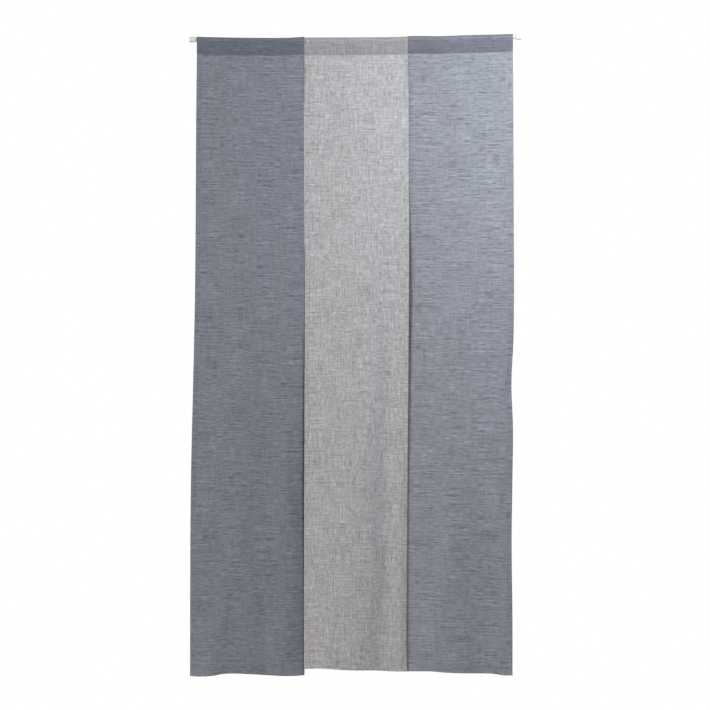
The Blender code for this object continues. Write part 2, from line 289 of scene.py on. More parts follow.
# %% Lapped seams
LAP_DEPTH = 1.8
FULL_LAP = 1.0
SEAM_FOOT = -163.0


def lap_of(join, height):
    """How far the outer strip reaches behind the middle one."""
    return np.maximum(along(join, "lap", height), 0.0)


def lapped(join, height):
    """1 where the outer strip lies well behind the middle one, 0 where they don't overlap."""
    return soft_step(0.0, FULL_LAP, lap_of(join, height))


def left_of(join, height):
    """Right edge of the strip on a join's left."""
    return along(join, "centre", height) - along(join, "gap", height) / 2.0 - EDGE_INSET


def right_of(join, height):
    """Left edge of the strip on a join's right."""
    return along(join, "centre", height) + along(join, "gap", height) / 2.0 + EDGE_INSET


print("lap of the left seam:", float(lap_of(LEFT_JOIN, SEAM_FOOT)), "mm")

# %% The strips, from left to right
Panel = namedtuple("Panel", "name left right lapped_side join lifts feet flicks folds curls creases")
LEFT_TABLES = (LEFT_LIFTS, LEFT_FEET, LEFT_FLICKS, LEFT_FOLDS, LEFT_CURLS, LEFT_CREASES)
CENTRE_TABLES = (CENTRE_LIFTS, CENTRE_FEET, CENTRE_FLICKS, CENTRE_FOLDS, CENTRE_CURLS, CENTRE_CREASES)
RIGHT_TABLES = (RIGHT_LIFTS, RIGHT_FEET, RIGHT_FLICKS, RIGHT_FOLDS, RIGHT_CURLS, RIGHT_CREASES)
PANELS = [
    Panel(
        "left",
        lambda height: along(LEFT_EDGE, "place", height) + EDGE_INSET,
        lambda height: left_of(LEFT_JOIN, height) + lap_of(LEFT_JOIN, height),
        "right",
        LEFT_JOIN,
        *LEFT_TABLES,
    ),
    Panel(
        "centre",
        lambda height: right_of(LEFT_JOIN, height),
        lambda height: left_of(RIGHT_JOIN, height),
        "",
        None,
        *CENTRE_TABLES,
    ),
    Panel(
        "right",
        lambda height: right_of(RIGHT_JOIN, height) - lap_of(RIGHT_JOIN, height),
        lambda height: along(RIGHT_EDGE, "place", height) - EDGE_INSET,
        "left",
        RIGHT_JOIN,
        *RIGHT_TABLES,
    ),
]
for panel in PANELS:
    half_way = float(panel.right(-800.0) - panel.left(-800.0))
    print(panel.name, "strip is", round(half_way, 1), "mm wide half way down")

# %% [markdown]
# ## How the cloth hangs
#
# The depth of the cloth at any point is a sum of plain effects: a slight bow, the folds, the side
# edges that turn away, flat creases from packing, gathers that the tight heading sends down, a dent
# along each line of stitches, and a faint unevenness. Adding effects is easier to steer than one
# simulated drape, because each can be matched to the real cloth by itself.

# %% Folds, curls and creases
def bell(distance, half_width):
    """A soft bump, 1 in its middle."""
    return np.exp(-((distance / half_width) ** 2))


def swell(rise, height):
    """Strength of a fold or curl: 0 where it starts and ends, 1 where it is fullest."""
    growing = soft_step(rise.start, rise.full, height)
    fading = soft_step(rise.end, rise.full, height)
    return np.where(height > rise.full, growing, fading)


def fold_depth(panel, place, height, left, right):
    """Depth from the long folds and from the side edges that turn away."""
    depth = np.zeros_like(place)
    for fold in panel.folds:
        drift = (fold.foot_place - fold.top_place) * soft_step(fold.start, fold.end, height)
        distance = place - (fold.top_place + drift)
        depth = depth + fold.depth * swell(fold, height) * bell(distance, fold.half_width)
    for curl in panel.curls:
        from_edge = place - left if curl.side == "left" else right - place
        near_edge = np.clip(1.0 - from_edge / curl.width, 0.0, 1.0) ** 2
        depth = depth + curl.depth * swell(curl, height) * near_edge
    return depth


def crease_depth(panel, place, height):
    """Depth from the flat creases, each a low ridge or dip across the strip."""
    depth = np.zeros_like(place)
    for crease in panel.creases:
        share = np.clip((place - crease.start) / (crease.end - crease.start), 0.0, 1.0)
        line = crease.height + crease.rise * share + crease.bend * 4.0 * share * (1.0 - share)
        strength = crease.depth * np.sin(math.pi * share) ** 0.5
        depth = depth + strength * bell(height - line, crease.half_height)
    return depth


print("a fold's strength at its half width:", round(float(bell(1.0, 1.0)), 2))

# %% Unevenness that no fold explains
Ripple = namedtuple("Ripple", "width height turn depth")
RIPPLES = rows_of(
    Ripple,
    (71, 610, 0.4, 0.45),
    (43, 330, 2.1, 0.28),
    (97, -480, 4, 0.5),
    (29, -210, 1.3, 0.13),
    (150, 190, 5.2, 0.4),
    (-210, 118, 3.3, 0.35),
    (61, 84, 0.9, 0.12),
    (-37, 57, 2.7, 0.08),
)
GATHER_WIDTH = 14.0
GATHER_DRIFT = 31.0
GATHER_SWAY = 1.7
GATHER_DEPTH = 0.35
GATHER_REACH = 34.0


def uneven_depth(place, height):
    """Sum of the faint ripples of the whole curtain."""
    depth = np.zeros_like(place)
    for ripple in RIPPLES:
        waves = place / ripple.width + height / ripple.height
        depth += ripple.depth * np.sin(2.0 * math.pi * waves + ripple.turn)
    return depth


def gathers(place, from_stitch):
    """Small gathers that a tight line of stitches sends into the cloth around it."""
    drift = GATHER_SWAY * np.sin(place / GATHER_DRIFT)
    wave = np.sin(2.0 * math.pi * place / GATHER_WIDTH + drift)
    return GATHER_DEPTH * wave * np.exp(-np.abs(from_stitch) / GATHER_REACH)


print("ripples over the whole curtain:", len(RIPPLES))

# %% The whole depth of a hanging strip
SETTLE = 60.0
FLICK_HEIGHT = 24.0
DENT = 0.22
DENT_HALF_WIDTH = 1.3
HEAD_DENT = 0.5
HEAD_DENT_HALF_WIDTH = 1.6
LAP_SLOPE_START = 9.0
LAP_SLOPE_END = 4.0


def hang_depth(panel, place, height, left, right, foot, stitch):
    """How far the cloth stands behind the plane of its pocket's stitch line."""
    across = np.clip((place - left) / (right - left), 0.0, 1.0)
    settled = soft_step(0.0, -SETTLE, height - stitch)
    depth = -BOW * np.sin(math.pi * across) * soft_step(-POCKET_DEPTH, -BOW_REACH, height)
    depth = depth + fold_depth(panel, place, height, left, right)
    depth = depth + crease_depth(panel, place, height)
    depth = depth + uneven_depth(place, height) * settled + gathers(place, height - stitch)
    for edge_distance in (place - left, right - place):
        depth = depth + DENT * settled * bell(edge_distance - SIDE_STITCH, DENT_HALF_WIDTH)
    depth = depth + DENT * bell(height - foot - FOOT_STITCH, DENT_HALF_WIDTH)
    depth = depth + HEAD_DENT * bell(height - stitch, HEAD_DENT_HALF_WIDTH)
    low = np.clip(1.0 - (height - foot) / FLICK_HEIGHT, 0.0, 1.0)
    depth = depth - along(panel.flicks, "forward", across) * low * low
    if panel.lapped_side:
        edge_distance = place - left if panel.lapped_side == "left" else right - place
        near_edge = soft_step(LAP_SLOPE_START, LAP_SLOPE_END, edge_distance)
        depth = depth + LAP_DEPTH * lapped(panel.join, height) * near_edge
    return depth


print("a lapped edge hangs", LAP_DEPTH, "mm behind its neighbour")

# %% [markdown]
# ## One strip, folded from one cut
#
# A real hem is the same cloth turned over, so the mesh does the same: one grid whose outer columns
# run round the side edge and come back behind, and whose lowest rows run round the foot. At the top
# the rows go over the rod and down behind to the tail that the stitch line holds. A row is a name and
# an amount, so the whole section can be read in a few lines.

# %% Rows, from the foot up the front, over the rod and down behind
Row = namedtuple("Row", "kind amount")
FOOT_ROWS = [0.85, 2.5, 6.0, 10.0, 14.0, 16.5, 18.0, 20.0, 22.0, 26.0]
HEAD_ROWS = [18.0, 12.0, 8.0, 5.0, 3.0, 1.5, 0.0]
TAIL_ROWS = [2.0, 4.0, TAIL]
POCKET_ROWS = [0.03, 0.07, 0.11, 0.14, 0.2, 0.28, 0.38, 0.5, 0.64, 0.8, 0.92]
WRAP_ROWS = 18
HUNG_ROWS = 236

ROWS = [Row("foot", up) for up in FOOT_ROWS]
ROWS += [Row("hung", (index + 1) / (HUNG_ROWS + 1)) for index in range(HUNG_ROWS)]
ROWS += [Row("head", down) for down in HEAD_ROWS]
ROWS += [Row("front", share) for share in POCKET_ROWS]
ROWS += [Row("wrap", index / WRAP_ROWS) for index in range(WRAP_ROWS + 1)]
ROWS += [Row("back", 1.0 - share) for share in reversed(POCKET_ROWS)]
ROWS += [Row("back", 1.0)]
ROWS += [Row("tail", down) for down in TAIL_ROWS]
STITCH_ROW = ROWS.index(Row("head", 0.0))
BACK_STITCH_ROW = ROWS.index(Row("back", 1.0))
FOOT_STITCH_ROW = FOOT_ROWS.index(FOOT_STITCH)
print("rows up the front and over:", len(ROWS))

# %% Columns, from the left edge to the right edge
EDGE_COLUMNS = [0.55, 3.0, 6.0, 9.0, 10.2, 11.0, 11.8, 13.0, 14.5, 17.0, 21.0]
MIDDLE_COLUMNS = 58
NOMINAL_WIDTH = 280.0
SIDE_STITCH_COLUMN = EDGE_COLUMNS.index(SIDE_STITCH)


def column_places(left, right):
    """Sideways places of a strip's front columns at one height."""
    middle = np.linspace(left + EDGE_COLUMNS[-1], right - EDGE_COLUMNS[-1], MIDDLE_COLUMNS)
    edge = np.array(EDGE_COLUMNS[:-1])
    return np.concatenate([left + edge, middle, right - edge[::-1]])


print("columns across the front:", len(column_places(0.0, NOMINAL_WIDTH)))

# %% Layers that lie on each other at the foot and at the pocket's stitch line
def stack(edge_distance):
    """Depth of a turned-over layer: over one cloth in the middle, over three at the side hems."""
    return LAYER * (1.0 + 2.0 * soft_step(EDGE_COLUMNS[-1], SIDE_HEM, edge_distance))


def row_height(row, foot, stitch):
    """Height of a row that hangs below the pocket."""
    if row.kind == "foot":
        return foot + row.amount
    if row.kind == "hung":
        low = foot + FOOT_ROWS[-1]
        return low + (stitch - HEAD_ROWS[0] - low) * row.amount
    if row.kind in ("head", "tail"):
        return stitch - row.amount
    return stitch


print("turned-over layer at a side hem:", float(stack(0.0)), "mm behind")

# %% Points of one row
def row_points(panel, row, place, left, right):
    """Points of the cloth's middle along one row of the grid."""
    across = (place - left) / (right - left)
    edge_distance = np.minimum(place - left, right - place)
    reach = along(panel.lifts, "raised", across) + POCKET_RADIUS
    stitch = rod_height(place) + reach - POCKET_DEPTH
    foot = along(panel.feet, "height", across)
    if row.kind == "wrap":
        angle = math.pi + POCKET_WRAP - (math.pi + 2.0 * POCKET_WRAP) * row.amount
        depth = POCKET_RADIUS * math.cos(angle) * np.ones_like(place)
        return np.stack([place, depth, rod_height(place) + reach * math.sin(angle)], axis=1)
    if row.kind in ("front", "back"):
        share = 1.0 - row.amount if row.kind == "front" else row.amount
        turned_in = share**POCKET_FULLNESS
        low = rod_height(place) - reach * math.sin(POCKET_WRAP)
        height = low + (stitch - low) * share
        turned = POCKET_RADIUS * math.cos(POCKET_WRAP)
        start = -turned if row.kind == "front" else turned
        end = FRONT_AT_STITCH if row.kind == "front" else FRONT_AT_STITCH + stack(edge_distance)
        depth = start + (end - start) * turned_in + gathers(place, height - stitch) * share
        if row.kind == "front":
            depth = depth + HEAD_DENT * bell(height - stitch, HEAD_DENT_HALF_WIDTH)
        return np.stack([place, depth, height], axis=1)
    height = row_height(row, foot, stitch)
    depth = FRONT_AT_STITCH + hang_depth(panel, place, height, left, right, foot, stitch)
    if row.kind == "tail":
        depth = depth + stack(edge_distance)
    return np.stack([place, depth, height], axis=1)


print("rows of a pocket:", sum(row.kind in ("front", "wrap", "back") for row in ROWS))

# %% The front of a strip, and the direction behind it at each point
NUDGE = 0.5


def front_surface(panel):
    """Points at each row and front column, and unit directions from the viewer's side to the other."""
    nominal_foot = along(panel.feet, "height", 0.5)
    nominal_stitch = rod_height(ROD_SPAN / 2.0) - POCKET_DEPTH
    points = []
    nudged = []
    for row in ROWS:
        nominal = row_height(row, nominal_foot, nominal_stitch)
        left = float(panel.left(nominal))
        right = float(panel.right(nominal))
        place = column_places(left, right)
        points.append(row_points(panel, row, place, left, right))
        nudged.append(row_points(panel, row, place + NUDGE, left, right))
    points = np.array(points)
    behind = np.cross(np.gradient(points, axis=0), np.array(nudged) - points)
    return points, behind / np.linalg.norm(behind, axis=2, keepdims=True)


surfaces = {panel.name: front_surface(panel) for panel in PANELS}
print("rows and columns of a front:", surfaces["left"][0].shape[:2])

# %% [markdown]
# The plan of the grid says, for every column and row of the cut, which front column or row it lies
# at, whether it is turned over (1), on the fold itself (0.5) or in front (0), and how far it sticks
# out past the edge there.

# %% Plan of the grid
Line = namedtuple("Line", "index turned out")
TURNED_FOOT = [FOOT_ROWS.index(up) for up in (20.0, 18.0, 14.0, 10.0, 6.0, 2.5, 0.85)]
TURNED_SIDE = [EDGE_COLUMNS.index(inward) for inward in (13.0, 11.0, 9.0, 6.0, 3.0, 0.55)]
FRONT_COLUMNS = 2 * (len(EDGE_COLUMNS) - 1) + MIDDLE_COLUMNS
FOOT_OUT = FOOT_ROWS[0] - EDGE_INSET
SIDE_OUT = EDGE_COLUMNS[0]

ROW_PLAN = [Line(index, 1.0, 0.0) for index in TURNED_FOOT]
ROW_PLAN += [Line(0, 0.5, -FOOT_OUT)]
ROW_PLAN += [Line(index, 0.0, 0.0) for index in range(len(ROWS))]
COLUMN_PLAN = [Line(index, 1.0, 0.0) for index in TURNED_SIDE]
COLUMN_PLAN += [Line(0, 0.5, -SIDE_OUT)]
COLUMN_PLAN += [Line(index, 0.0, 0.0) for index in range(FRONT_COLUMNS)]
COLUMN_PLAN += [Line(FRONT_COLUMNS - 1, 0.5, SIDE_OUT)]
COLUMN_PLAN += [Line(FRONT_COLUMNS - 1 - index, 1.0, 0.0) for index in reversed(TURNED_SIDE)]
print("grid:", len(COLUMN_PLAN), "columns by", len(ROW_PLAN), "rows")

# %% Folding the front's points into the whole cut
INNER_RAISE = 0.62


def fold_over(points, behind):
    """Points of the whole cut: the front, the side hems behind it and the turned-up foot."""
    rows = np.array([line.index for line in ROW_PLAN])
    row_turn = np.array([line.turned for line in ROW_PLAN])[:, None]
    columns = np.array([line.index for line in COLUMN_PLAN])
    column_turn = np.array([line.turned for line in COLUMN_PLAN])[None, :]
    inward = column_places(0.0, NOMINAL_WIDTH)
    edge_distance = np.minimum(inward, NOMINAL_WIDTH - inward)[columns]
    offset = row_turn * stack(edge_distance)[None, :] + (1.0 - 2.0 * row_turn) * LAYER * column_turn
    ups = [ROWS[index].amount if ROWS[index].kind == "foot" else FOOT_HEM for index in rows]
    up = np.array(ups)[:, None]
    raised = INNER_RAISE * column_turn * np.clip(1.0 - up / FOOT_HEM, 0.0, 1.0)
    folded = points[rows][:, columns] + behind[rows][:, columns] * offset[:, :, None]
    folded[:, :, 0] += np.array([line.out for line in COLUMN_PLAN])[None, :]
    folded[:, :, 2] += np.array([line.out for line in ROW_PLAN])[:, None] + raised
    return folded


print("rows and columns of a whole cut:", fold_over(*surfaces["left"]).shape[:2])

# %% Where each point lies on the flat cut
def flat_places(points):
    """Places across and along the cut, before it was folded and hung."""
    middle = points[:, FRONT_COLUMNS // 2]
    steps = np.linalg.norm(np.diff(middle, axis=0), axis=1)
    lengths = FOOT_ROWS[0] + np.concatenate([[0.0], np.cumsum(steps)])
    widths = points[len(ROWS) // 2, :, 0] - points[len(ROWS) // 2, 0, 0] + EDGE_COLUMNS[0]
    width = widths[-1] + EDGE_COLUMNS[0]
    down = [
        0.0 if line.turned == 0.5 else lengths[line.index] * (1.0 - 2.0 * line.turned)
        for line in ROW_PLAN
    ]
    over = []
    for place, line in enumerate(COLUMN_PLAN):
        edge = 0.0 if place < len(COLUMN_PLAN) // 2 else width
        if line.turned == 0.0:
            over.append(widths[line.index])
        elif line.turned == 0.5:
            over.append(edge)
        else:
            over.append(2.0 * edge - widths[line.index])
    return np.array(over), np.array(down)


over, down = flat_places(surfaces["left"][0])
print(f"the left strip is cut {over[-1] - over[0]:.0f} mm wide and {down[-1] - down[0]:.0f} mm long")

# %% [markdown]
# ## Making the mesh
#
# `create_grid` gives the right number of points and faces in order. Each point then moves to its
# folded place. The map named `weave` keeps where every point lay on the flat cut, in metres, so a
# pattern of yarns follows the cloth round its hems. A Solidify modifier gives the cloth its thickness
# at the very end.

# %% Reading and placing the points of a mesh
def read_points(mesh):
    """Points of a mesh, one in each row of an array."""
    points = np.empty(len(mesh.vertices) * 3)
    mesh.vertices.foreach_get("co", points)
    return points.reshape(-1, 3)


def place_points(mesh, points):
    """Move the points of a mesh to places in millimetres."""
    mesh.vertices.foreach_set("co", (points * MM).astype(np.float32).ravel())


def add_object(name, content):
    """Make an object of a mesh, lamp or camera and put it in the scene."""
    made = bpy.data.objects.new(name, content)
    bpy.context.scene.collection.objects.link(made)
    return made


def grid_order(mesh, columns, rows):
    """Column and row of each point of a grid that create_grid made."""
    places = read_points(mesh)
    across = np.rint((places[:, 0] + 0.5) * (columns - 1)).astype(int)
    upward = np.rint((places[:, 1] + 0.5) * (rows - 1)).astype(int)
    return across, upward


print("points of one cut:", len(COLUMN_PLAN) * len(ROW_PLAN))

# %% One strip of cloth, and then all three
COVERS = {"front": 1.0, "wrap": 0.7, "back": 1.0, "tail": 1.0}


def lay_weave(mesh, over, down):
    """Give every face corner its place on the flat cut."""
    corners = np.empty(len(mesh.loops), dtype=np.int32)
    mesh.loops.foreach_get("vertex_index", corners)
    layer = mesh.uv_layers.new(name="weave")
    layer.uv.foreach_set("vector", np.stack([over[corners], down[corners]], axis=1).ravel())


def make_strip(panel, points, behind):
    """Make one strip as a folded, hung sheet and return it with the size of its flat cut."""
    grid = bmesh.new()
    bmesh.ops.create_grid(grid, x_segments=len(COLUMN_PLAN) - 1, y_segments=len(ROW_PLAN) - 1, size=0.5)
    mesh = bpy.data.meshes.new("cloth_" + panel.name)
    grid.to_mesh(mesh)
    grid.free()
    column, row = grid_order(mesh, len(COLUMN_PLAN), len(ROW_PLAN))
    over, down = flat_places(points)
    place_points(mesh, fold_over(points, behind)[row, column])
    lay_weave(mesh, (over * MM)[column], (down * MM)[row])
    # How much cloth lies doubled here. It makes the cloth less sheer, and in the finish it also carries
    # the painted shade of the pocket's heading.
    doubled = mesh.attributes.new("doubled", "FLOAT", "POINT")
    cover = np.array([COVERS.get(ROWS[line.index].kind, 0.0) for line in ROW_PLAN])
    doubled.data.foreach_set("value", cover[row])
    mesh.shade_smooth()
    mesh.update()
    cloth = add_object("cloth_" + panel.name, mesh)
    thick = cloth.modifiers.new("cloth thickness", "SOLIDIFY")
    thick.thickness = CLOTH * MM
    thick.offset = 0.0
    return cloth, ((over[-1] - over[0]) * MM, (down[-1] - down[0]) * MM)


cloths = {}
cuts = {}
for panel in PANELS:
    cloths[panel.name], cuts[panel.name] = make_strip(panel, *surfaces[panel.name])
    width, length = cuts[panel.name]
    print(f"cloth_{panel.name} is cut {width:.3f} x {length:.3f} m")

# %% [markdown]
# ## Thread
#
# Every hem is held by a line of stitches, seen on both faces of the cloth. A stitch is a small grain
# of thread, thicker in its middle, standing a little proud. There are thousands, so each is a sphere
# of very few faces, stretched along its line. One sphere is doubled again and again until there are
# enough, which is far quicker than adding them one by one. The lines are taken from the cloth's own
# points, so they can't float off it.

# %% Stitches along a line of points
STITCH_PITCH = 3.1
STITCH_HALF_LENGTH = 1.3
STITCH_HALF_WIDTH = 0.24
STITCH_HALF_HEIGHT = 0.17
STITCH_STANDS = CLOTH / 2.0 + 0.06


def read_at(lengths, values, wanted):
    """Read points or directions at wanted lengths along a line."""
    return np.stack([np.interp(wanted, lengths, values[:, axis]) for axis in range(3)], axis=1)


def sew(line, outward, pitch=STITCH_PITCH):
    """Places and directions of stitches laid end to end along a line, on its outward side."""
    lengths = np.concatenate([[0.0], np.cumsum(np.linalg.norm(np.diff(line, axis=0), axis=1))])
    count = max(int(lengths[-1] / pitch), 1)
    middles = (np.arange(count) + 0.5) * lengths[-1] / count
    ahead = read_at(lengths, line, middles + 0.5 * pitch) - read_at(lengths, line, middles - 0.5 * pitch)
    ahead /= np.linalg.norm(ahead, axis=1, keepdims=True)
    up = read_at(lengths, outward, middles)
    up -= ahead * np.sum(up * ahead, axis=1, keepdims=True)
    up /= np.linalg.norm(up, axis=1, keepdims=True)
    centres = read_at(lengths, line, middles) + up * STITCH_STANDS
    reach = STITCH_HALF_LENGTH * pitch / STITCH_PITCH
    aside = np.cross(up, ahead) * STITCH_HALF_WIDTH
    return np.stack([aside, up * STITCH_HALF_HEIGHT, ahead * reach, centres], axis=1)


print(f"a stitch is {2.0 * STITCH_HALF_LENGTH:.1f} mm long, one every {STITCH_PITCH} mm")

# %% Lines of stitches of one strip
TACK_HEIGHT = 0.14
TACK_ROW = ROWS.index(Row("front", TACK_HEIGHT))
TACK_COLUMNS = 15
BAR_STEPS = (0.0, 0.6, 1.2)
BAR_PITCH = 1.5
BAR_COLUMNS = 4


def both_faces(line, behind):
    """Sew one line on the front face and on the back of the layer that is turned over behind it."""
    return [sew(line, -behind), sew(line + behind * LAYER, behind)]


def tack_lines(panel, points, behind):
    """Sew the rows that hold the pocket's corners, and the seams on the middle strip's edges."""
    lines = []
    for side in (slice(0, TACK_COLUMNS), slice(FRONT_COLUMNS - TACK_COLUMNS, FRONT_COLUMNS)):
        lines += [sew(points[TACK_ROW, side], -behind[TACK_ROW, side])]
    if panel.lapped_side:
        return lines
    seam = [row for row in range(len(ROWS)) if row <= STITCH_ROW and points[row, 0, 2] > SEAM_FOOT]
    end = seam[0]
    last = FRONT_COLUMNS - 1
    for column, side in ((1, slice(0, BAR_COLUMNS)), (last - 1, slice(-BAR_COLUMNS, None))):
        lines += [sew(points[seam, column], -behind[seam, column])]
        for down in BAR_STEPS:
            lines += [sew(points[end, side] - (0.0, 0.0, down), -behind[end, side], BAR_PITCH)]
    return lines


def hem_lines(panel, points, behind):
    """Sew the side hems, the foot hem and the pocket of one strip."""
    hung = slice(FOOT_STITCH_ROW, STITCH_ROW + 1)
    inner = slice(len(EDGE_COLUMNS), FRONT_COLUMNS - len(EDGE_COLUMNS))
    lines = []
    for column in (SIDE_STITCH_COLUMN, FRONT_COLUMNS - 1 - SIDE_STITCH_COLUMN):
        lines += both_faces(points[hung, column], behind[hung, column])
    lines += both_faces(points[FOOT_STITCH_ROW, inner], behind[FOOT_STITCH_ROW, inner])
    lines += [sew(points[STITCH_ROW], -behind[STITCH_ROW])]
    lines += [sew(points[BACK_STITCH_ROW], -behind[BACK_STITCH_ROW])]
    return np.concatenate(lines + tack_lines(panel, points, behind))


print("stitches of the middle strip:", len(hem_lines(PANELS[1], *surfaces["centre"])))

# %% One piece of thread for each strip
def make_thread(panel):
    """Make one grain of thread, double it until there are enough, and place each as a stitch."""
    stitches = hem_lines(panel, *surfaces[panel.name])
    mesh = bpy.data.meshes.new("thread_" + panel.name)
    # Written to a mesh and read back, a grain's points stay side by side when it is doubled.
    grain = bmesh.new()
    bmesh.ops.create_uvsphere(grain, u_segments=4, v_segments=3, radius=1.0)
    grain.to_mesh(mesh)
    grain.free()
    thread = bmesh.new()
    thread.from_mesh(mesh)
    grain_points = len(thread.verts)
    while len(thread.verts) < grain_points * len(stitches):
        bmesh.ops.duplicate(thread, geom=thread.verts[:] + thread.edges[:] + thread.faces[:])
    thread.verts.ensure_lookup_table()
    bmesh.ops.delete(thread, geom=thread.verts[grain_points * len(stitches):], context="VERTS")
    thread.to_mesh(mesh)
    thread.free()
    grains = read_points(mesh).reshape(len(stitches), grain_points, 3)
    place_points(mesh, grains @ stitches[:, :3] + stitches[:, 3:])
    mesh.shade_smooth()
    mesh.update()
    piece = add_object("thread_" + panel.name, mesh)
    print(piece.name, "has", len(stitches), "stitches and", len(mesh.polygons), "faces")
    return piece


threads = {panel.name: make_thread(panel) for panel in PANELS}

# %% [markdown]
# ## The rod
#
# The rod is a round steel tube with a white coat. A cylinder is cut across many times and each ring
# is lifted to the rod's line, which bends it without any change to its round section.

# %% Rod
ROD_SIDES = 40
ROD_CUTS = 70
SHARP_ANGLE = math.radians(35.0)


def add_piece(name, shape):
    """Make an object of a bmesh, shaded smooth except over its sharp edges."""
    mesh = bpy.data.meshes.new(name)
    shape.to_mesh(mesh)
    shape.free()
    mesh.shade_smooth()
    mesh.set_sharp_from_angle(angle=SHARP_ANGLE)
    return add_object(name, mesh)


def make_rod():
    """Make the rod as a bent cylinder whose ends sit inside the caps."""
    length = (ROD_SPAN - 2.0 * ROD_START) * MM
    turn = Matrix.Translation((ROD_SPAN / 2.0 * MM, 0.0, 0.0)) @ Matrix.Rotation(math.pi / 2.0, 4, "Y")
    rod = bmesh.new()
    bmesh.ops.create_cone(
        rod,
        cap_ends=True,
        segments=ROD_SIDES,
        radius1=ROD_RADIUS * MM,
        radius2=ROD_RADIUS * MM,
        depth=length,
        matrix=turn,
    )
    long_edges = [edge for edge in rod.edges if edge.calc_length() > length / 2.0]
    bmesh.ops.subdivide_edges(rod, edges=long_edges, cuts=ROD_CUTS, use_grid_fill=True)
    for point in rod.verts:
        point.co.z += float(rod_height(point.co.x / MM)) * MM
    return add_piece("curtain_rod", rod)


rod = make_rod()
print("rod faces:", len(rod.data.polygons))

# %% [markdown]
# ## The end caps
#
# A soft cup on each end presses on the wall. It is turned: half of its section is drawn as a line of
# points and spun round the rod's axis, then every corner ring is rounded with a bevel. The face that
# meets the wall has a shallow ring in it, as such cups have for grip.

# %% Section of an end cap
CAP_SOCKET = ROD_RADIUS + 0.12
CAP_BASE = 3.0
CAP_WAIST = 0.35
CAP_STEPS = 48
CAP_ROUNDING = 0.5
CAP_CORNER = math.radians(60.0)
CAP_SECTION = [
    (0.0, 0.0),
    (0.0, 3.2),
    (0.5, 3.5),
    (0.5, 4.6),
    (0.0, 4.9),
    (0.0, CAP_RADIUS - 0.9),
    (0.9, CAP_RADIUS),
    (3.4, CAP_RADIUS),
    (4.0, CAP_RADIUS - CAP_WAIST),
    (CAP_LENGTH - 2.6, CAP_RADIUS - CAP_WAIST),
    (CAP_LENGTH - 2.0, CAP_RADIUS),
    (CAP_LENGTH, CAP_RADIUS),
    (CAP_LENGTH, CAP_SOCKET),
    (CAP_BASE, CAP_SOCKET),
    (CAP_BASE, 0.0),
]
print("points in a cap's section:", len(CAP_SECTION))

# %% End caps
def make_cap(name, place, height, direction):
    """Turn one cap whose flat face is at place and whose cup opens in the given direction."""
    cap = bmesh.new()
    ring = []
    for depth, radius in CAP_SECTION:
        ring += [cap.verts.new((place + direction * depth, 0.0, height + radius))]
    edges = [cap.edges.new(pair) for pair in zip(ring, ring[1:])]
    bmesh.ops.spin(
        cap,
        geom=ring + edges,
        cent=(place, 0.0, height),
        axis=(1.0, 0.0, 0.0),
        angle=2.0 * math.pi,
        steps=CAP_STEPS,
        use_merge=True,
    )
    bmesh.ops.remove_doubles(cap, verts=cap.verts[:], dist=0.001)
    bmesh.ops.recalc_face_normals(cap, faces=cap.faces[:])
    closed = [edge for edge in cap.edges if len(edge.link_faces) == 2]
    corners = [edge for edge in closed if edge.calc_face_angle() > CAP_CORNER]
    bmesh.ops.bevel(
        cap,
        geom=corners,
        offset=CAP_ROUNDING,
        segments=3,
        profile=0.5,
        affect="EDGES",
        material=-1,
        clamp_overlap=True,
    )
    bmesh.ops.scale(cap, vec=(MM, MM, MM), verts=cap.verts[:])
    return add_piece(name, cap)


caps = [make_cap("wall_cap_left", 0.0, 0.0, 1.0), make_cap("wall_cap_right", ROD_SPAN, ROD_RISE, -1.0)]
print("cap faces:", len(caps[0].data.polygons))

# %% [markdown]
# ## Writing a finish
#
# A finish is a small sum: a base tone, plus yarns, plus soft clouds. Nodes can add and multiply, but
# long chains of them are hard to read. One class wraps an output, and Python's own operators add the
# Math nodes, so a finish reads as arithmetic.

